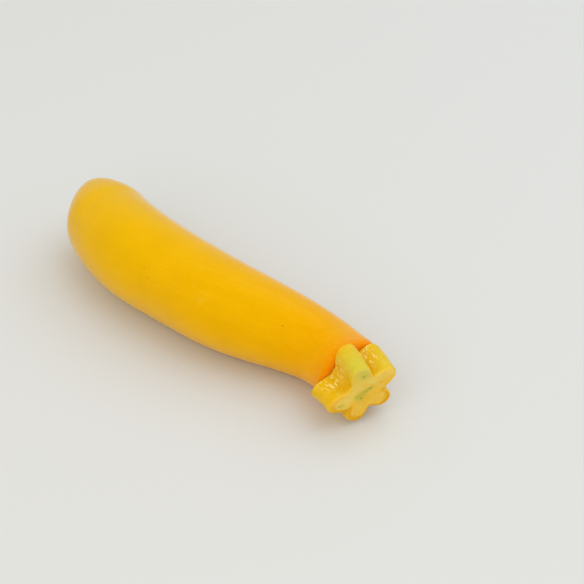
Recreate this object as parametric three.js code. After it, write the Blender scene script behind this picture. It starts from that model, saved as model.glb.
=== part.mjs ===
// A yellow zucchini lying on a table: the fruit, and the stub of stem left on it when it was cut.
// Millimetres, +Z up. The table is z = 0, and +X runs from the blossom end to the stem end.
import * as THREE from "three";

// Driving dimensions of the fruit.
// Stations along it from the blossom end to the stem: x, y and the radius of the body there.
// The body lies on the table, so the radius is also the height of its centreline.
const STATIONS = [
  [0, 0, 19.8],
  [30, -11.5, 22.8],
  [50, -15.5, 23.7],
  [78, -14.5, 23.2],
  [112, -10.5, 22.3],
  [140, -2, 19.7],
  [162, 2.5, 17.1],
  [182, 0, 16.6],
];
const CAP_LENGTH = 25; // the blossom end rounds off over this length
const CAP_FULLNESS = 1.7; // 2 gives an ellipse, and less is more pointed
const SCAR_RADIUS = 7.6; // the flat corky scar that the blossom leaves
const SCAR_STEP = 0.4; // how far the scar stands proud of the cap
const NECK_EDGE = 2.5; // rounding where the neck turns in to the stem
const BELLY_FLAT = 0.4; // depth of the flat that the fruit rests on
const BLOSSOM_RISE = 9.5; // the blossom end curves up off the table by this much
const BLOSSOM_RISE_LENGTH = 32;
const NECK_RISE = 2.5; // and so does the neck
const NECK_RISE_LENGTH = 34;

// Driving dimensions of the stem: five fat ribs, cut square across.
const STEM_LENGTH = 16;
const STEM_HEADING = THREE.MathUtils.degToRad(-21); // of the cut face, from +X seen from above
const STEM_TURN = 4; // the stem turns to that heading about this far from the neck
const STEM_OFFSET = 1; // how far the stem sits off the middle of the neck, to the fruit's right
const STEM_GAP = 0.3; // between the stem and the fruit
// Each rib's angle above the horizontal in degrees, counter-clockwise seen from the cut end,
// its radius at the joint and its radius at the cut.
const RIBS = [
  { angle: 34, atJoint: 18.8, atCut: 18.1 },
  { angle: 100, atJoint: 20.5, atCut: 17.8 },
  { angle: 186, atJoint: 21, atCut: 18.5 },
  { angle: 250, atJoint: 18.4, atCut: 17 },
  { angle: 323, atJoint: 17.5, atCut: 15.8 },
];
const GROOVE_RADIUS = 10.4;
const GROOVE_RADIUS_AT_JOINT = 12;
const RIB_FATNESS = 1.5; // above 1 the ribs are fat and the grooves between them narrow
const KNUCKLE = 1.6; // rounding of the ribs where they sit on the neck

// How finely the two are faceted.
const FRUIT_RINGS = 54;
const FRUIT_SIDES = 56;
const STEM_STEPS = 9;
const STEM_SIDES = 72;

const centreline = new THREE.CatmullRomCurve3(STATIONS.map((station) => new THREE.Vector3(...station)));
const fruitLength = centreline.getLength();

// How far an end is lifted: by `rise` at the end itself, and not at all beyond `length` from it.
function endRise(distanceFromEnd, length, rise) {
  return rise * Math.max(0, 1 - distanceFromEnd / length) ** 2;
}

// What the centreline's height is above the body's radius.
function lift(along) {
  const blossomRise = endRise(along, BLOSSOM_RISE_LENGTH, BLOSSOM_RISE);
  const neckRise = endRise(fruitLength - along, NECK_RISE_LENGTH, NECK_RISE);
  return blossomRise + neckRise - BELLY_FLAT;
}

// The body's radius with both ends rounded: a full cap at the blossom, a small edge at the neck.
function roundedRadius(along, radius) {
  const intoCap = Math.max(0, 1 - along / CAP_LENGTH);
  const cap = (1 - intoCap ** CAP_FULLNESS) ** (1 / CAP_FULLNESS);
  const intoEdge = Math.max(0, NECK_EDGE - (fruitLength - along));
  const edge = NECK_EDGE - Math.sqrt(NECK_EDGE ** 2 - intoEdge ** 2);
  return radius * cap - edge;
}

// Half of the fruit's outline, radius against distance along, from the scar to the stem.
function fruitProfile() {
  const profile = [];
  for (let ring = 0; ring <= FRUIT_RINGS; ring += 1) {
    // the rings crowd towards the two rounded ends
    const share = 0.5 - 0.5 * Math.cos((Math.PI * ring) / FRUIT_RINGS);
    const along = share * fruitLength;
    const radius = roundedRadius(along, centreline.getPointAt(share).z);
    if (radius > SCAR_RADIUS) profile.push(new THREE.Vector2(radius, along));
  }
  const scarAlong = profile[0].y - SCAR_STEP;
  const scarCentre = new THREE.Vector2(0, scarAlong);
  const scarEdge = new THREE.Vector2(SCAR_RADIUS, scarAlong);
  return [scarCentre, scarEdge, ...profile, new THREE.Vector2(0, fruitLength)];
}

// Moves a solid turned about the Y axis so that the axis follows the centreline, its +Z side up.
function bendAlongCentreline(geometry) {
  const place = geometry.attributes.position;
  for (let i = 0; i < place.count; i += 1) {
    const along = place.getY(i);
    const share = THREE.MathUtils.clamp(along / fruitLength, 0, 1);
    const point = centreline.getPointAt(share);
    const forward = centreline.getTangentAt(share).setZ(0).normalize();
    point.x += forward.y * place.getX(i);
    point.y -= forward.x * place.getX(i);
    point.z += lift(along) + place.getZ(i);
    place.setXYZ(i, point.x, point.y, Math.max(0, point.z));
  }
  geometry.computeVertexNormals();
}

function makeFruit() {
  const geometry = new THREE.LatheGeometry(fruitProfile(), FRUIT_SIDES);
  bendAlongCentreline(geometry);
  const skin = new THREE.MeshStandardMaterial({ color: 0xecae06, roughness: 0.38, metalness: 0 });
  const fruit = new THREE.Mesh(geometry, skin);
  fruit.name = "fruit";
  return fruit;
}

// The stem's outline at an angle in degrees. `share` runs from 0 at the joint to 1 at the cut.
function stemRadius(angle, share) {
  const fromFirst = THREE.MathUtils.euclideanModulo(angle - RIBS[0].angle, 360);
  const before = RIBS.findLastIndex((rib) => rib.angle - RIBS[0].angle <= fromFirst);
  const after = (before + 1) % RIBS.length;
  const gap = THREE.MathUtils.euclideanModulo(RIBS[after].angle - RIBS[before].angle, 360);
  const across = (fromFirst + RIBS[0].angle - RIBS[before].angle) / gap;
  const rib = RIBS[across < 0.5 ? before : after];
  const tip = THREE.MathUtils.lerp(rib.atJoint, rib.atCut, share);
  const groove = THREE.MathUtils.lerp(GROOVE_RADIUS_AT_JOINT, GROOVE_RADIUS, share);
  const fall = (0.5 - 0.5 * Math.cos(2 * Math.PI * across)) ** RIB_FATNESS;
  return tip - (tip - groove) * fall;
}

// What the rounded foot of the ribs takes off the outline near the joint.
function knuckleRounding(distanceFromJoint) {
  const intoKnuckle = Math.max(0, KNUCKLE - distanceFromJoint);
  return KNUCKLE - Math.sqrt(KNUCKLE ** 2 - intoKnuckle ** 2);
}

function stemOutline() {
  const points = [];
  for (let i = 0; i < STEM_SIDES; i += 1) {
    const angle = RIBS[0].angle + (360 * i) / STEM_SIDES;
    const radius = stemRadius(angle, 0);
    const turn = THREE.MathUtils.degToRad(angle);
    points.push(new THREE.Vector2(radius * Math.cos(turn), radius * Math.sin(turn)));
  }
  return new THREE.Shape(points);
}

// The stem's centreline: out of the neck in the neck's own direction, then round to the cut's.
function stemPath() {
  const joint = centreline.getPointAt(1);
  const forward = centreline.getTangentAt(1).setZ(0).normalize();
  joint.z += lift(fruitLength);
  joint.addScaledVector(forward, STEM_GAP);
  joint.addScaledVector(new THREE.Vector3(forward.y, -forward.x, 0), STEM_OFFSET);
  const cutDirection = new THREE.Vector3(Math.cos(STEM_HEADING), Math.sin(STEM_HEADING), 0);
  const turn = joint.clone().addScaledVector(forward, STEM_TURN);
  const cut = turn.clone().addScaledVector(cutDirection, STEM_LENGTH - STEM_TURN);
  return new THREE.QuadraticBezierCurve3(joint, turn, cut);
}

// Extrudes the outline, draws each step of it in to the outline it has there, and bends it.
function makeStem() {
  const geometry = new THREE.ExtrudeGeometry(stemOutline(), {
    depth: STEM_LENGTH,
    steps: STEM_STEPS,
    bevelEnabled: false,
  });
  const path = stemPath();
  const place = geometry.attributes.position;
  for (let i = 0; i < place.count; i += 1) {
    const angle = Math.atan2(place.getY(i), place.getX(i));
    const along = place.getZ(i);
    const share = along / STEM_LENGTH;
    const radius = stemRadius(THREE.MathUtils.radToDeg(angle), share) - knuckleRounding(along);
    const point = path.getPoint(share);
    const forward = path.getTangent(share);
    const side = radius * Math.cos(angle);
    point.x -= forward.y * side;
    point.y += forward.x * side;
    point.z += radius * Math.sin(angle);
    place.setXYZ(i, point.x, point.y, point.z);
  }
  geometry.computeVertexNormals();
  const flesh = new THREE.MeshStandardMaterial({ color: 0xd8bb42, roughness: 0.5, metalness: 0 });
  const stem = new THREE.Mesh(geometry, flesh);
  stem.name = "stem";
  return stem;
}

const zucchini = new THREE.Group();
zucchini.add(makeFruit(), makeStem());

// The origin is on the table, under the middle of the whole zucchini.
const extent = new THREE.Box3().setFromObject(zucchini);
const middle = extent.getCenter(new THREE.Vector3());
zucchini.position.set(-middle.x, -middle.y, -extent.min.z);

export default zucchini;
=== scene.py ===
import math

import bpy
import numpy as np
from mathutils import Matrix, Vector, noise


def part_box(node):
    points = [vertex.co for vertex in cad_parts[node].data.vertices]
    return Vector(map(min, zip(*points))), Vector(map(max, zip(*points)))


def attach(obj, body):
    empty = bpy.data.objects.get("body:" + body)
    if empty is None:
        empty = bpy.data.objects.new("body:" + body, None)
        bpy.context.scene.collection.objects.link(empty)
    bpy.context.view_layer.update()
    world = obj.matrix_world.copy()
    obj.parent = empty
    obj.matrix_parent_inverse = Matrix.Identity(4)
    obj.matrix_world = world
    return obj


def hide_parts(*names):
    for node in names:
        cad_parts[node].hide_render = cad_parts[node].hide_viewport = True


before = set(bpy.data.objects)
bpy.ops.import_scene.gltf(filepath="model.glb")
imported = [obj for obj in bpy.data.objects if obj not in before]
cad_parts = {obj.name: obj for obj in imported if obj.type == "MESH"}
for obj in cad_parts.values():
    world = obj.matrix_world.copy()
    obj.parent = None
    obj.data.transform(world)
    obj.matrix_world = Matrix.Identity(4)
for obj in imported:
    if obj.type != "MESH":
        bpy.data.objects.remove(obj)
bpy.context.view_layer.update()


# ---- The table and the room ----
# A pale matt table top that goes out past the view in every direction.
# Daylight comes in soft and nearly white, from above and from behind the blossom end.

TABLE_HALF_SIDE = 3.0
TABLE_COLOUR = (0.70, 0.71, 0.705, 1)
ROOM_COLOUR = (1.0, 0.945, 0.875, 1)
ROOM_STRENGTH = 0.76


def make_table():
    """A flat square at the height of the zucchini's underside."""
    side = TABLE_HALF_SIDE
    corners = [(-side, -side, 0), (side, -side, 0), (side, side, 0), (-side, side, 0)]
    mesh = bpy.data.meshes.new("table")
    mesh.from_pydata(corners, [], [(0, 1, 2, 3)])
    table = bpy.data.objects.new("table", mesh)
    bpy.context.collection.objects.link(table)
    material = bpy.data.materials.new("pale_matt_board")
    material.use_nodes = True
    board = material.node_tree.nodes["Principled BSDF"]
    board.inputs["Base Color"].default_value = TABLE_COLOUR
    board.inputs["Roughness"].default_value = 0.6
    board.inputs["Specular IOR Level"].default_value = 0.25
    mesh.materials.append(material)


def make_window(name, place, size, watts, colour):
    """A soft round light at a place, turned towards the zucchini."""
    light = bpy.data.lights.new(name, "AREA")
    light.shape = "DISK"
    light.size = size
    light.energy = watts
    light.color = colour
    window = bpy.data.objects.new(name, light)
    window.location = place
    window.rotation_euler = Vector(place).to_track_quat("Z", "Y").to_euler()
    bpy.context.collection.objects.link(window)


def make_room_light():
    """The even light that the walls and ceiling send back."""
    world = bpy.data.worlds.new("room")
    world.use_nodes = True
    background = world.node_tree.nodes["Background"]
    background.inputs["Color"].default_value = ROOM_COLOUR
    background.inputs["Strength"].default_value = ROOM_STRENGTH
    bpy.context.scene.world = world


make_table()
make_room_light()
make_window("window", (0.35, 0.65, 1.3), 2.0, 10.0, (0.74, 0.885, 1.0))
make_window("pale_wall", (0.2, -0.85, 0.72), 1.3, 3.1, (1.0, 0.94, 0.84))
bpy.context.scene.view_settings.view_transform = "Standard"


# ---- The camera ----
# It stands at the stem's end and looks down on the zucchini from over a table's edge.

CAMERA_AZIMUTH = math.radians(43.6)
CAMERA_ELEVATION = math.radians(43)
CAMERA_DISTANCE = 0.6757
CAMERA_TARGET = Vector((0.0252, 0.0280, 0.022))

camera_data = bpy.data.cameras.new("camera")
camera_data.lens = 85
camera_data.sensor_width = 36
camera = bpy.data.objects.new("camera", camera_data)
away = Vector(
    (
        math.sin(CAMERA_AZIMUTH) * math.cos(CAMERA_ELEVATION),
        -math.cos(CAMERA_AZIMUTH) * math.cos(CAMERA_ELEVATION),
        math.sin(CAMERA_ELEVATION),
    )
)
camera.location = CAMERA_TARGET + CAMERA_DISTANCE * away
camera.rotation_euler = away.to_track_quat("Z", "Y").to_euler()
bpy.context.collection.objects.link(camera)
bpy.context.scene.camera = camera


# ---- The fruit ----
# One swollen berry: firm flesh under a thin, waxy, golden skin that is orange towards the neck.
# It is fat and round at the blossom end, where the dried flower fell off and left a corky scar,
# lies on the flattened side that it grew on, and narrows to the neck that the stem holds.

# Stations along it from the blossom end to the stem: x, y and the radius there, in metres.
STATIONS = np.array(
    [
        (0.000, 0.0000, 0.0198),
        (0.030, -0.0115, 0.0228),
        (0.050, -0.0155, 0.0237),
        (0.078, -0.0145, 0.0232),
        (0.112, -0.0105, 0.0223),
        (0.140, -0.0020, 0.0197),
        (0.162, 0.0025, 0.0171),
        (0.182, 0.0000, 0.0166),
    ]
)
CAP_LENGTH = 0.025
CAP_FULLNESS = 1.7
BELLY_FLAT = 0.0004
BLOSSOM_RISE, BLOSSOM_RISE_LENGTH = 0.0095, 0.032
NECK_RISE, NECK_RISE_LENGTH = 0.0025, 0.034
NECK_EDGE = 0.0032
SCAR_RADIUS = 0.0076
SCAR_POINTS = 10
SCAR_RINGS = 90
BODY_RINGS = 330
FRUIT_SIDES = 200
RIB_ANGLES = np.radians([34, 100, 186, 250, 323])
RIB_HALF_WIDTH = math.radians(36)


def curve_through(knots, values, at):
    """A smooth curve through the values, with no bend at its two ends: a natural spline."""
    gaps = np.diff(knots)
    slopes = np.diff(values) / gaps
    system = np.eye(len(knots))
    bends = np.zeros(len(knots))
    for i in range(1, len(knots) - 1):
        system[i, i - 1 : i + 2] = gaps[i - 1], 2 * (gaps[i - 1] + gaps[i]), gaps[i]
        bends[i] = 6 * (slopes[i] - slopes[i - 1])
    bends = np.linalg.solve(system, bends)
    span = np.clip(np.searchsorted(knots, at, side="right") - 1, 0, len(gaps) - 1)
    before, after, gap = at - knots[span], knots[span + 1] - at, gaps[span]
    bent = bends[span] * after**3 + bends[span + 1] * before**3
    start = (values[span] / gap - bends[span] * gap / 6) * after
    end = (values[span + 1] / gap - bends[span + 1] * gap / 6) * before
    return bent / (6 * gap) + start + end


station_gaps = np.linalg.norm(np.diff(STATIONS[:, :2], axis=0), axis=1)
station_along = np.concatenate([[0], np.cumsum(station_gaps)])
fruit_length = station_along[-1]


def end_rise(from_end, length, rise):
    """How far an end curves up off the table."""
    return rise * np.clip(1 - from_end / length, 0, 1) ** 2


def fruit_centre(along):
    """The middle of the body at a distance along, the way to its left there, and the radius."""
    x, y, radius = (curve_through(station_along, STATIONS[:, i], along) for i in range(3))
    step = 1e-5
    ahead_x, ahead_y = (curve_through(station_along, STATIONS[:, i], along + step) for i in range(2))
    heading = np.arctan2(ahead_y - y, ahead_x - x)
    blossom = end_rise(along, BLOSSOM_RISE_LENGTH, BLOSSOM_RISE)
    neck = end_rise(fruit_length - along, NECK_RISE_LENGTH, NECK_RISE)
    centre = np.stack([x, y, radius - BELLY_FLAT + blossom + neck], axis=-1)
    left = np.stack([-np.sin(heading), np.cos(heading), np.zeros_like(heading)], axis=-1)
    return centre, left, radius


def rounded(along, radius):
    """The radius with a full cap at the blossom end and a small edge at the neck's end."""
    into_cap = np.clip(1 - along / CAP_LENGTH, 0, 1)
    cap = (1 - into_cap**CAP_FULLNESS) ** (1 / CAP_FULLNESS)
    into_edge = np.clip(NECK_EDGE - (fruit_length - along), 0, NECK_EDGE)
    edge = NECK_EDGE - np.sqrt(NECK_EDGE**2 - into_edge**2)
    return radius * cap - edge


def on_crest(angle):
    """1 where a rib of the stem sits, and 0 down in the hollows, at an angle seen from the cut."""
    apart = (angle[..., None] - RIB_ANGLES + np.pi) % (2 * np.pi) - np.pi
    nearest = np.abs(apart).min(axis=-1)
    return 0.5 + 0.5 * np.cos(np.pi * np.clip(nearest / RIB_HALF_WIDTH, 0, 1))


def soft_noise(points, size, seed):
    """Smooth noise at each point, about -1 to 1, with lumps of about the size."""
    shift = Vector((13.7, 5.1, 9.3)) * seed
    return np.array([noise.noise(Vector(point) / size + shift) for point in points.tolist()])


def ring_faces(rings, sides):
    """Four-sided faces between rings of points, each ring closed on itself."""
    ring, side = np.meshgrid(np.arange(rings - 1), np.arange(sides), indexing="ij")
    here = ring * sides + side
    beside = ring * sides + (side + 1) % sides
    return np.stack([here, beside, beside + sides, here + sides], axis=-1).reshape(-1, 4).tolist()


def end_faces(rings, sides):
    """Fans that close the first and the last ring on the two middle points that follow them."""
    first_middle = rings * sides
    last_ring = first_middle - sides
    faces = []
    for side in range(sides):
        beside = (side + 1) % sides
        faces.append((first_middle, beside, side))
        faces.append((first_middle + 1, last_ring + side, last_ring + beside))
    return faces


def closed_piece(name, rings, masks):
    """A smooth closed mesh of rings of points, each mask kept on the points as a named number."""
    count, sides = rings.shape[:2]
    middles = [rings[0].mean(axis=0), rings[-1].mean(axis=0)]
    points = np.vstack([rings.reshape(-1, 3), middles])
    mesh = bpy.data.meshes.new(name)
    mesh.from_pydata(points.tolist(), [], ring_faces(count, sides) + end_faces(count, sides))
    for mask, values in masks.items():
        ends = [values[0].mean(), values[-1].mean()]
        numbers = np.concatenate([values.ravel(), ends]).astype(np.float32)
        mesh.attributes.new(mask, "FLOAT", "POINT").data.foreach_set("value", numbers)
    mesh.polygons.foreach_set("use_smooth", [True] * len(mesh.polygons))
    mesh.update()
    piece = bpy.data.objects.new(name, mesh)
    bpy.context.collection.objects.link(piece)
    return piece


def fruit_places():
    """Distances along the fruit for its rings: close together over the scar, wider on the body."""
    fine = np.linspace(0, CAP_LENGTH, 8000)
    reach = rounded(fine, fruit_centre(fine)[2])
    scar = np.interp(np.linspace(0.0001, 1.3 * SCAR_RADIUS, SCAR_RINGS), reach, fine)
    share = np.linspace(0, 1, BODY_RINGS + 1)[1:]
    eased = 0.5 - 0.5 * np.cos(np.pi * share)
    body = scar[-1] + (fruit_length - scar[-1]) * (0.4 * share + 0.6 * eased)
    return np.concatenate([scar, body])


def fruit_rings():
    """Rings of points from the middle of the scar round the bent body to inside the joint."""
    along = fruit_places()
    radius = rounded(along, fruit_centre(along)[2])
    angle = 2 * np.pi * np.arange(FRUIT_SIDES) / FRUIT_SIDES
    on_cap = (along < CAP_LENGTH)[:, None]
    # the cap stops short at the scar, which is a faintly dished disc of cork
    reach = radius[:, None]
    waver = 0.0003 * np.cos(3 * angle + 1) + 0.0002 * np.cos(7 * angle)
    past_lip = (reach - SCAR_RADIUS - waver) * 1000
    in_scar = on_cap / (1 + np.exp(np.clip(9 * past_lip, -50, 50)))
    scar_along = np.interp(SCAR_RADIUS, radius[along < CAP_LENGTH], along[along < CAP_LENGTH])
    centre, left, _ = fruit_centre(np.maximum(along[:, None], scar_along * in_scar))
    # dark points stand round the scar's lip, where the flower's edge was
    spike = (0.5 + 0.5 * np.cos(SCAR_POINTS * angle + 0.8 * np.sin(2 * angle))) ** 5
    point = on_cap * spike * np.exp(-(((past_lip - 0.25) / 0.45) ** 2))
    thread = on_cap * 0.45 * np.exp(-((past_lip / 0.2) ** 2))
    # five shoulders rise under the stem's ribs and fade out along the neck
    to_neck = np.clip(1 - (fruit_length - along) / 0.08, 0, 1)[:, None]
    shoulders = 1 + (on_crest(angle) - 0.5) * (0.012 * to_neck + 0.06 * to_neck**9)
    spread = reach * shoulders
    up = np.array([0, 0, 1])
    outward = np.cos(angle)[None, :, None] * left + np.sin(angle)[None, :, None] * up
    rings = centre + spread[..., None] * outward
    flat_points = rings.reshape(-1, 3)
    slow = soft_noise(flat_points, 0.024, 1).reshape(spread.shape)
    quick = soft_noise(flat_points, 0.008, 2).reshape(spread.shape)
    swell = (1 - in_scar) * (0.0003 * slow + 0.00006 * quick)
    rings = rings + outward * swell[..., None]
    cork = soft_noise(flat_points, 0.0011, 3).reshape(spread.shape)
    pits = np.clip(soft_noise(flat_points, 0.0019, 4).reshape(spread.shape) - 0.3, 0, 1)
    dish = 0.0005 * in_scar * (1 - (spread / SCAR_RADIUS) ** 2)
    relief = 0.00012 * thread + 0.00025 * point + in_scar * (0.00006 * cork - 0.0005 * pits) - dish
    rings = rings - np.cross(left, up) * relief[..., None]
    rings[..., 2] = np.maximum(rings[..., 2], 0)
    whole = np.ones_like(spread)
    masks = {
        "along": along[:, None] * whole * 1000,
        "scar": in_scar,
        "lip": np.maximum(point, thread),
        "pit": in_scar * np.clip(2.5 * pits, 0, 1),
        "turn_x": np.cos(angle) * whole,
        "turn_y": np.sin(angle) * whole,
    }
    return rings, masks


def node_adder(tree):
    """A function that adds a node to the tree, sets it, and joins or sets its inputs."""

    def add(kind, inputs=None, **settings):
        node = tree.nodes.new(kind)
        for setting, value in settings.items():
            setattr(node, setting, value)
        for socket, value in (inputs or {}).items():
            if isinstance(value, bpy.types.NodeSocket):
                tree.links.new(value, node.inputs[socket])
            else:
                node.inputs[socket].default_value = value
        return node

    return add


def make_material(name):
    """A material's Principled BSDF and the function that adds nodes beside it."""
    material = bpy.data.materials.new(name)
    material.use_nodes = True
    return material, material.node_tree.nodes["Principled BSDF"], node_adder(material.node_tree)


def masks_of(add, piece_masks):
    """The masks that a piece's points carry, each read by its name."""
    return {
        name: add("ShaderNodeAttribute", attribute_name=name).outputs["Fac"] for name in piece_masks
    }


def spread_over(add, value, low, high, low_result=0.0, high_result=1.0):
    """The value carried from one range over to another, and held inside it."""
    inputs = {"Value": value, "From Min": low, "From Max": high}
    inputs.update({"To Min": low_result, "To Max": high_result})
    return add("ShaderNodeMapRange", inputs).outputs["Result"]


def times(add, first, second):
    """Two masks multiplied."""
    return add("ShaderNodeMath", {0: first, 1: second}, operation="MULTIPLY").outputs[0]


def laid_over(add, mask, under, over):
    """One colour laid over another where the mask is; 6 and 7 are the mix node's colour sockets."""
    return add("ShaderNodeMix", {"Factor": mask, 6: under, 7: over}, data_type="RGBA").outputs[2]


def colour_run(add, value, stops):
    """Colours that change with a value, from (value, colour) stops between 0 and 1."""
    run = add("ShaderNodeValToRGB", {"Fac": value})
    first, last = run.color_ramp.elements
    first.position, first.color = stops[0]
    last.position, last.color = stops[-1]
    for position, colour in stops[1:-1]:
        run.color_ramp.elements.new(position).color = colour
    return run.outputs["Color"]


def new_group(name, inputs, output):
    """A shader node group with its named numbers going in and one number coming out."""
    group = bpy.data.node_groups.new(name, "ShaderNodeTree")
    for socket, kind in inputs.items():
        group.interface.new_socket(socket, in_out="INPUT", socket_type=kind)
    group.interface.new_socket(output, in_out="OUTPUT", socket_type="NodeSocketFloat")
    add = node_adder(group)
    return group, add, add("NodeGroupInput").outputs


def make_grain_group():
    """Plant fibre: noise that runs round the piece and is drawn out along it."""
    numbers = dict.fromkeys(("Along", "Turn X", "Turn Y", "Stretch", "Scale", "Detail"), "NodeSocketFloat")
    group, add, given = new_group("lengthwise_grain", numbers, "Grain")
    drawn = times(add, given["Along"], given["Stretch"])
    place = add("ShaderNodeCombineXYZ", {"X": given["Turn X"], "Y": given["Turn Y"], "Z": drawn})
    inputs = {"Vector": place.outputs[0], "Scale": given["Scale"], "Detail": given["Detail"]}
    add("NodeGroupOutput", {"Grain": add("ShaderNodeTexNoise", inputs).outputs["Fac"]})
    return group


def make_dots_group():
    """Small round dots: one in some of the cells of a scattered pattern, and none in the rest."""
    kinds = {"Place": "NodeSocketVector", "Scale": "NodeSocketFloat"}
    kinds.update({"Radius": "NodeSocketFloat", "Share": "NodeSocketFloat"})
    group, add, given = new_group("scattered_dots", kinds, "Dots")
    cells = add("ShaderNodeTexVoronoi", {"Vector": given["Place"], "Scale": given["Scale"]})
    chance = add("ShaderNodeSeparateColor", {"Color": cells.outputs["Color"]}).outputs["Red"]
    chosen = add("ShaderNodeMath", {0: chance, 1: given["Share"]}, operation="LESS_THAN").outputs[0]
    core = times(add, given["Radius"], 0.4)
    dot = spread_over(add, cells.outputs["Distance"], given["Radius"], core)
    add("NodeGroupOutput", {"Dots": times(add, dot, chosen)})
    return group


lengthwise_grain = make_grain_group()
scattered_dots = make_dots_group()


fruit_points, fruit_masks = fruit_rings()
fruit_low, fruit_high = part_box("fruit")
body_low, body_high = fruit_points.min(axis=(0, 1)), fruit_points.max(axis=(0, 1))
# the frame says where the fruit lies, and the same shift takes the stem to its place
to_frame = np.array(
    [
        fruit_high.x - body_high[0],
        (fruit_low.y + fruit_high.y - body_low[1] - body_high[1]) / 2,
        0,
    ]
)
fruit = closed_piece("zucchini_fruit", fruit_points + to_frame, fruit_masks)

# The skin's colours, from the blossom end at 0 to the joint at 1. The last stops turn deep orange in the
# crease at the joint: the neck's own orange with painted shade laid into it.
SKIN_COLOURS = (
    (0.0, (0.79, 0.465, 0.004, 1)),
    (0.3, (0.82, 0.462, 0.001, 1)),
    (0.75, (0.84, 0.43, 0.0, 1)),
    (0.94, (0.86, 0.395, 0.0, 1)),
    (0.98, (0.86, 0.34, 0.0, 1)),
    (1.0, (0.88, 0.25, 0.0, 1)),
)
PORES_PER_METRE = 900.0
PORE_COLOUR = (0.93, 0.63, 0.07, 1)
# Marks on the skin: distance along in metres, degrees round, size and softness in metres.
RUBBED_PATCH = (0.081, 146, 0.003, 0.006)
SCRATCHES = (0.111, 136, 0.001, 0.003)
SPECKS = (
    (0.1505, 126, 0.0002, 0.0003),
    (0.128, 262, 0.0003, 0.0004),
    (0.064, 18, 0.0003, 0.0003),
)
SPECK_COLOUR = (0.30, 0.13, 0.01, 1)
CORK_COLOURS = ((0.36, (0.50, 0.27, 0.11, 1)), (0.55, (0.78, 0.54, 0.30, 1)))
CORK_BROWN = (0.33, 0.13, 0.045, 1)
POINT_COLOUR = (0.11, 0.045, 0.015, 1)


def place_on_skin(along, angle):
    """A point of the skin, from its distance along the fruit and its angle from the left side."""
    centre, left, radius = fruit_centre(np.array(along))
    outward = math.cos(angle) * left + np.array([0, 0, math.sin(angle)])
    return centre + radius * outward + to_frame


def mark_at(add, place, along, degrees, size, soft):
    """A round mask of a size about a place on the skin, soft towards its edge."""
    middle = place_on_skin(along, math.radians(degrees))
    gap = add("ShaderNodeVectorMath", {0: place, 1: middle}, operation="DISTANCE").outputs["Value"]
    return spread_over(add, gap, size + soft, size)


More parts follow.
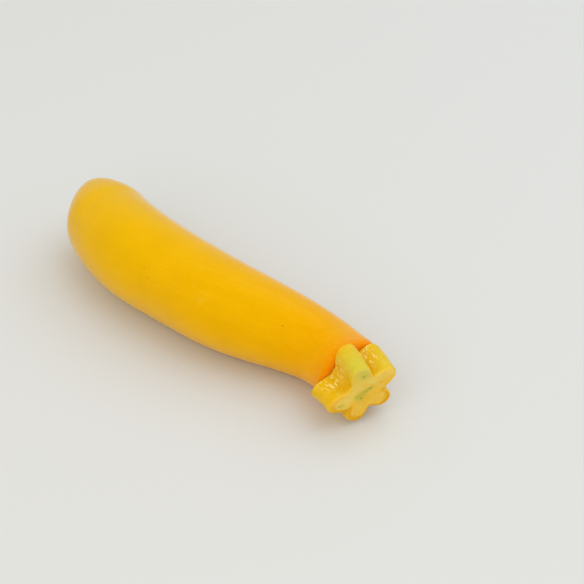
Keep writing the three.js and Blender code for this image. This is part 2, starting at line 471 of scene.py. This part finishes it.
def make_skin():
    """Waxy skin: golden, orange at the neck, with pale pores, small marks and a corky scar."""
    material, wax, add = make_material("golden_waxy_skin")
    join = material.node_tree.links.new
    read = masks_of(add, fruit_masks)
    place = add("ShaderNodeTexCoord").outputs["Object"]

    # the ground colour, faintly clouded and streaked along the fruit
    from_blossom = spread_over(add, read["along"], 0.0, fruit_length * 1000)
    # yellow to orange towards the neck, and a deep orange at the joint that is partly painted shade in the
    # crease under the stem's ribs
    ripeness_and_joint_shade = colour_run(add, from_blossom, SKIN_COLOURS)
    clouds = add("ShaderNodeTexNoise", {"Vector": place, "Scale": 45.0, "Detail": 4.0}).outputs["Fac"]
    round_skin = {"Along": read["along"], "Turn X": read["turn_x"], "Turn Y": read["turn_y"]}
    streaks = add(
        "ShaderNodeGroup",
        {**round_skin, "Stretch": 0.012, "Scale": 9.0, "Detail": 3.0},
        node_tree=lengthwise_grain,
    ).outputs["Grain"]
    cloudy = spread_over(add, clouds, 0.3, 0.7, 0.965, 1.03)
    streaky = spread_over(add, streaks, 0.3, 0.7, 0.985, 1.015)
    shade = times(add, cloudy, streaky)
    skin = add("ShaderNodeVectorMath", {0: ripeness_and_joint_shade, 1: shade}, operation="MULTIPLY").outputs[0]

    # pores: tiny paler dots, thicker on the neck's half than by the blossom end
    dots = {"Place": place, "Scale": PORES_PER_METRE, "Radius": 0.3, "Share": 0.7}
    pores = add("ShaderNodeGroup", dots, node_tree=scattered_dots).outputs["Dots"]
    towards_neck = spread_over(add, read["along"], 50.0, 130.0, 0.25, 1.0)
    in_patches = spread_over(add, clouds, 0.4, 0.6, 0.35, 1.0)
    pores = times(add, pores, times(add, towards_neck, in_patches))
    skin = laid_over(add, times(add, pores, 0.5), skin, PORE_COLOUR)

    # a rubbed patch of fine brown marks, two short pale scratches and one brown speck
    rub_dots = {"Place": place, "Scale": 700.0, "Radius": 0.35, "Share": 0.35}
    rubs = add("ShaderNodeGroup", rub_dots, node_tree=scattered_dots).outputs["Dots"]
    rubbed = times(add, rubs, mark_at(add, place, *RUBBED_PATCH))
    skin = laid_over(add, times(add, rubbed, 0.4), skin, SPECK_COLOUR)
    fine_streaks = add(
        "ShaderNodeGroup",
        {**round_skin, "Stretch": 0.02, "Scale": 60.0, "Detail": 0.0},
        node_tree=lengthwise_grain,
    ).outputs["Grain"]
    scratched = times(add, spread_over(add, fine_streaks, 0.58, 0.66), mark_at(add, place, *SCRATCHES))
    skin = laid_over(add, times(add, scratched, 0.35), skin, PORE_COLOUR)
    for speck in SPECKS:
        skin = laid_over(add, times(add, mark_at(add, place, *speck), 0.85), skin, SPECK_COLOUR)

    # the scar: pale cork, mottled and pitted brown on one side, and dark points round its lip
    fine_cork = {"Vector": place, "Scale": 420.0, "Detail": 6.0, "Roughness": 0.7}
    cork = add("ShaderNodeTexNoise", fine_cork).outputs["Fac"]
    cork_colour = colour_run(add, cork, CORK_COLOURS)
    one_side = add("ShaderNodeTexNoise", {"Vector": place, "Scale": 130.0}).outputs["Fac"]
    browned = times(add, spread_over(add, one_side, 0.5, 0.62), spread_over(add, cork, 0.6, 0.4))
    cork_colour = laid_over(add, times(add, browned, 0.75), cork_colour, CORK_BROWN)
    cork_colour = laid_over(add, times(add, read["pit"], 0.6), cork_colour, CORK_BROWN)
    skin = laid_over(add, read["scar"], skin, cork_colour)
    skin = laid_over(add, times(add, read["lip"], 0.95), skin, POINT_COLOUR)
    join(skin, wax.inputs["Base Color"])

    satin = spread_over(add, clouds, 0.3, 0.7, 0.19, 0.25)
    roughness = add("ShaderNodeMix", {"Factor": read["scar"], "A": satin, "B": 0.9}).outputs[0]
    join(roughness, wax.inputs["Roughness"])
    orange_peel = add("ShaderNodeTexNoise", {"Vector": place, "Scale": 700.0, "Detail": 2.0})
    height = add(
        "ShaderNodeMath", {0: orange_peel.outputs["Fac"], 1: pores}, operation="SUBTRACT"
    ).outputs[0]
    bump = add("ShaderNodeBump", {"Height": height, "Strength": 0.15, "Distance": 0.0002})
    join(bump.outputs[0], wax.inputs["Normal"])
    wax.inputs["Specular IOR Level"].default_value = 0.3
    wax.inputs["Specular Tint"].default_value = (1.0, 0.74, 0.03, 1)
    wax.inputs["Subsurface Weight"].default_value = 0.12
    wax.inputs["Subsurface Radius"].default_value = (1.0, 0.45, 0.08)
    wax.inputs["Subsurface Scale"].default_value = 0.003
    return material


fruit.data.materials.append(make_skin())
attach(fruit, "root")
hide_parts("fruit")


# ---- The stem ----
# The stub of the stalk that carried the fruit: five fat ribs that spread their feet on the neck,
# with damp hollows between them where the skin was rubbed, cut square across with a knife.
# Inside it is pale and fibrous, greenish in the middle, with dark bundles of vessels.

STEM_LENGTH = 0.016
STEM_HEADING = math.radians(-21)
STEM_TURN = 0.004
STEM_OFFSET = 0.001
STEM_ROOT = 0.003
# Each rib's radius at the joint and at the cut, in the order of RIB_ANGLES.
RIB_RADII_AT_JOINT = np.array([0.0188, 0.0205, 0.0210, 0.0184, 0.0175])
RIB_RADII_AT_CUT = np.array([0.0181, 0.0178, 0.0185, 0.0170, 0.0158])
GROOVE_RADIUS_AT_JOINT, GROOVE_RADIUS_AT_CUT = 0.0118, 0.0102
RIB_FATNESS = 1.5
KNUCKLE = 0.0022
WORN_EDGE = 0.0013
STEM_SIDES = 360
WALL_RINGS = 64
EDGE_RINGS = 9
FACE_RINGS = 70
# Places on the cut, in millimetres left and up from its middle, seen from inside the stem.
PALE_BAND = ((-16, -3.5), (-8, 0.3), (-4, 5), (-1.5, 9.5), (5.4, 7.6), (15, 10.5))
GREEN_SMEAR = ((-4, 0), (-1, 1.2), (3.3, 3.2))
GREEN_SPOTS = ((-1, 12.5, 2.2), (-2, -1.5, 2.6), (-12, -2, 1.8))
SUNNY_TIP = ((-1, 16, 7),)
VESSELS = (
    (-1.1, 12.2, 0.55),
    (2.5, 3.0, 0.55),
    (-2.0, -1.7, 0.55),
    (0.9, 1.2, 0.3),
    (-13.3, -2.1, 0.45),
    (8.1, 4.7, 0.3),
    (-5.0, -11.7, 0.3),
    (-3.2, -13.8, 0.35),
    (10.1, -4.9, 0.3),
    (15.0, 9.7, 0.5),
)


def stem_radius(angle, share):
    """The stem's outline at an angle, from its foot at 0 to the cut at 1."""
    apart = (angle[..., None] - RIB_ANGLES + np.pi) % (2 * np.pi) - np.pi
    rib = np.abs(apart).argmin(axis=-1)
    tip = RIB_RADII_AT_JOINT[rib] + (RIB_RADII_AT_CUT - RIB_RADII_AT_JOINT)[rib] * share
    groove = GROOVE_RADIUS_AT_JOINT + (GROOVE_RADIUS_AT_CUT - GROOVE_RADIUS_AT_JOINT) * share
    return tip - (tip - groove) * (1 - on_crest(angle)) ** RIB_FATNESS


def stem_centre(along):
    """The stem's middle and the way to its left: it leaves the neck straight and soon turns."""
    joint, left, _ = fruit_centre(np.array(fruit_length))
    forward = np.array([left[1], -left[0], 0])
    cut_way = np.array([math.cos(STEM_HEADING), math.sin(STEM_HEADING), 0])
    start = joint - STEM_OFFSET * left
    turn = start + STEM_TURN * forward
    cut = turn + (STEM_LENGTH - STEM_TURN) * cut_way
    share = np.clip(along / STEM_LENGTH, 0, 1)[:, None]
    centre = (1 - share) ** 2 * start + 2 * share * (1 - share) * turn + share**2 * cut
    way = (1 - share) * (turn - start) + share * (cut - turn)
    way /= np.linalg.norm(way, axis=1, keepdims=True)
    centre = centre + np.minimum(along, 0)[:, None] * forward
    return centre, np.stack([-way[:, 1], way[:, 0], 0 * way[:, 0]], axis=-1)


def near_path(across, up, path, width):
    """1 on a path of straight stretches, fading to 0 at about its width away."""
    gaps = []
    for (x0, y0), (x1, y1) in zip(path, path[1:]):
        run_x, run_y = x1 - x0, y1 - y0
        share = ((across - x0) * run_x + (up - y0) * run_y) / (run_x**2 + run_y**2)
        share = np.clip(share, 0, 1)
        gaps.append(np.hypot(across - x0 - share * run_x, up - y0 - share * run_y))
    return np.exp(-((np.minimum.reduce(gaps) / width) ** 2))


def near_spots(across, up, spots):
    """1 in the middle of each spot (left, up, size), fading to 0 round it."""
    shown = [np.exp(-(((across - x) ** 2 + (up - y) ** 2) / size**2)) for x, y, size in spots]
    return np.maximum.reduce(shown)


def stem_rings():
    """Rings up the ribbed wall from inside the neck, round the worn edge and in across the cut."""
    angle = 2 * np.pi * np.arange(STEM_SIDES) / STEM_SIDES
    crest = on_crest(angle)[None, :]
    wall = np.linspace(-STEM_ROOT, STEM_LENGTH - WORN_EDGE, WALL_RINGS)
    turn = np.linspace(0, np.pi / 2, EDGE_RINGS + 1)[1:]
    inward = np.linspace(1, 0.01, FACE_RINGS + 1)[1:]
    edge_along = STEM_LENGTH - WORN_EDGE * (1 - np.sin(turn))
    along = np.concatenate([wall, edge_along, np.full(FACE_RINGS, STEM_LENGTH)])
    worn = np.concatenate(
        [np.zeros(WALL_RINGS), WORN_EDGE * (1 - np.cos(turn)), np.full(FACE_RINGS, WORN_EDGE)]
    )[:, None]
    cut = np.concatenate([np.zeros(WALL_RINGS), np.sin(turn) ** 2, np.ones(FACE_RINGS)])[:, None]
    out = np.concatenate([np.ones(WALL_RINGS + EDGE_RINGS), inward])[:, None]
    share = np.clip(along / STEM_LENGTH, 0, 1)[:, None]
    # the feet of the ribs round in to the neck
    foot = np.clip(KNUCKLE - along, 0, KNUCKLE)[:, None]
    into_foot = KNUCKLE - np.sqrt(np.maximum(KNUCKLE**2 - foot**2, 0))
    root = np.clip(-along / STEM_ROOT, 0, 1)[:, None]
    outline = stem_radius(angle[None, :], share)
    radius = (outline - into_foot - worn) * out * (1 - 0.35 * root**0.7)
    centre, left = stem_centre(along)
    up = np.array([0, 0, 1])
    outward = np.cos(angle)[None, :, None] * left[:, None, :] + np.sin(angle)[None, :, None] * up
    rings = centre[:, None, :] + radius[..., None] * outward
    forward = np.cross(left, up)[:, None, :]
    # fibres run up the wall, coarse in the hollows, and the ribs are lumpy
    whole = np.ones_like(radius)
    turned = [np.cos(angle) * whole, np.sin(angle) * whole]
    fibre_places = np.stack([*turned, along[:, None] * 16 * whole], axis=-1).reshape(-1, 3)
    lump_places = np.stack([*turned, along[:, None] * 50 * whole], axis=-1).reshape(-1, 3)
    fibres = soft_noise(fibre_places, 0.07, 5).reshape(radius.shape)
    lumps = soft_noise(lump_places, 0.3, 6).reshape(radius.shape)
    bumps = soft_noise(lump_places, 0.12, 9).reshape(radius.shape)
    hollow = (1 - crest) ** 0.7
    relief = 0.00032 * fibres * (0.2 + hollow) + 0.00055 * lumps + 0.00018 * bumps
    fade_in = np.where(out < 1, ((out - 0.8) / 0.2).clip(0, 1) ** 2, 1)
    rings = rings + outward * (fade_in * relief)[..., None]
    # the knife left the pulp faintly torn, and it has shrunk a little in the middle
    flat = rings.reshape(-1, 3)
    torn = soft_noise(flat, 0.0013, 7) + 0.6 * soft_noise(flat, 0.0005, 8)
    uneven = soft_noise(flat, 0.006, 10).reshape(radius.shape)
    inside = np.clip((1 - out) / 0.08, 0, 1)
    sunk = 0.0004 * np.exp(-((radius / 0.005) ** 2))
    lift = 0.0001 * torn.reshape(radius.shape) + 0.0003 * uneven - sunk
    rings = rings + forward * (inside * lift)[..., None]
    across, high = 1000 * radius * np.cos(angle), 1000 * radius * np.sin(angle)
    by_face = cut > 0
    green = near_path(across, high, GREEN_SMEAR, 1.3) + 0.7 * near_spots(across, high, GREEN_SPOTS)
    masks = {
        "cut": cut * whole,
        "rim": cut * np.clip((out - 0.82) / 0.1, 0, 1) * whole,
        "pale": near_path(across, high, PALE_BAND, 2.8) * by_face,
        "green": green.clip(0, 1) * by_face,
        "tip": near_spots(across, high, SUNNY_TIP) * by_face,
        "crest": crest * whole,
        "along": along[:, None] * 1000 * whole,
        "vessel": near_spots(across, high, VESSELS) * by_face,
        "turn_x": turned[0],
        "turn_y": turned[1],
    }
    return rings, masks


stem_points, stem_masks = stem_rings()
stem = closed_piece("zucchini_stem", stem_points + to_frame, stem_masks)


# The colours of the stem's wall, from its hollows to its crests, and of its cut end. The deeper gold of
# the hollows is partly painted shade.
WALL_COLOURS = (
    (0.0, (0.79, 0.455, 0.0, 1)),
    (0.5, (0.80, 0.47, 0.001, 1)),
    (1.0, (0.80, 0.49, 0.005, 1)),
)
SUNNY_GREEN = (0.66, 0.56, 0.045, 1)
# the colour of the highlights that are painted into the hollows
PAINTED_GLINT = (0.95, 0.78, 0.24, 1)
FLESH_GOLD = (0.90, 0.54, 0.045, 1)
FLESH_PALE = (0.90, 0.67, 0.13, 1)
FLESH_GREEN = (0.56, 0.52, 0.05, 1)
TIP_GREEN = (0.68, 0.59, 0.09, 1)
RIM_ORANGE = (0.80, 0.40, 0.0, 1)
VESSEL_COLOUR = (0.20, 0.17, 0.01, 1)


def make_stem_flesh():
    """Yellow ribs, golden hollows with painted shade and painted wet glints, and a pale fibrous cut end
    with dark vessels.
    """
    material, flesh, add = make_material("ribbed_stem_flesh")
    join = material.node_tree.links.new
    read = masks_of(add, stem_masks)
    place = add("ShaderNodeTexCoord").outputs["Object"]

    # the wall: yellower on the ribs and deeper gold down in the hollows, partly painted shade; green on
    # top by the cut
    wall = colour_run(add, read["crest"], WALL_COLOURS)
    on_top = spread_over(add, read["turn_y"], 0.3, 0.95)
    by_cut = times(add, on_top, spread_over(add, read["along"], 1.0, 13.0))
    wall = laid_over(add, times(add, by_cut, read["crest"]), wall, SUNNY_GREEN)
    round_stem = {"Along": read["along"], "Turn X": read["turn_x"], "Turn Y": read["turn_y"]}
    fibres = add(
        "ShaderNodeGroup",
        {**round_stem, "Stretch": 0.012, "Scale": 32.0, "Detail": 0.0},
        node_tree=lengthwise_grain,
    ).outputs["Grain"]
    # painted highlights: pale wet glints painted into the colour in short lines along the hollows,
    # stopping short of the cut, where the roughness is lowered too
    in_hollow = spread_over(add, read["crest"], 0.75, 0.35)
    off_cut = spread_over(add, read["along"], 13.0, 10.0)
    glints = times(add, spread_over(add, fibres, 0.57, 0.66), times(add, in_hollow, off_cut))
    wall = laid_over(add, times(add, glints, 0.8), wall, PAINTED_GLINT)
    # a faint speckle of the same painted glint over the whole wall
    glint_speckle = add("ShaderNodeTexNoise", {"Vector": place, "Scale": 330.0, "Detail": 2.0}).outputs["Fac"]
    wall = laid_over(add, spread_over(add, glint_speckle, 0.5, 0.7, 0.0, 0.12), wall, PAINTED_GLINT)

    # the cut: gold flesh, a pale band over the middle, green by the vessels, orange lower rims
    blotches = add("ShaderNodeTexNoise", {"Vector": place, "Scale": 260.0, "Detail": 4.0}).outputs["Fac"]
    uneven = spread_over(add, blotches, 0.35, 0.6, 0.55, 1.0)
    pulpy = spread_over(add, blotches, 0.45, 0.65, 0.0, 0.4)
    face = laid_over(add, pulpy, FLESH_GOLD, FLESH_PALE)
    face = laid_over(add, times(add, read["pale"], uneven), face, FLESH_PALE)
    face = laid_over(add, times(add, read["tip"], 0.95), face, TIP_GREEN)
    face = laid_over(add, times(add, read["green"], uneven), face, FLESH_GREEN)
    low = spread_over(add, read["turn_y"], 0.25, -0.3)
    face = laid_over(add, times(add, read["rim"], low), face, RIM_ORANGE)
    face = laid_over(add, times(add, read["vessel"], 0.8), face, VESSEL_COLOUR)
    join(laid_over(add, read["cut"], wall, face), flesh.inputs["Base Color"])

    damp = add("ShaderNodeMix", {"Factor": glints, "A": 0.42, "B": 0.16}).outputs[0]
    roughness = add("ShaderNodeMix", {"Factor": read["cut"], "A": damp, "B": 0.6}).outputs[0]
    join(roughness, flesh.inputs["Roughness"])
    pulp = add("ShaderNodeTexNoise", {"Vector": place, "Scale": 700.0, "Detail": 4.0}).outputs["Fac"]
    height = add("ShaderNodeMath", {0: pulp, 1: fibres}, operation="ADD").outputs[0]
    bump = add("ShaderNodeBump", {"Height": height, "Strength": 0.35, "Distance": 0.0004})
    join(bump.outputs[0], flesh.inputs["Normal"])
    flesh.inputs["Specular IOR Level"].default_value = 0.25
    flesh.inputs["Specular Tint"].default_value = (1.0, 0.85, 0.3, 1)
    flesh.inputs["Subsurface Weight"].default_value = 0.25
    flesh.inputs["Subsurface Radius"].default_value = (1.0, 0.7, 0.2)
    flesh.inputs["Subsurface Scale"].default_value = 0.003
    return material


stem.data.materials.append(make_stem_flesh())
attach(stem, "root")
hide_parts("stem")
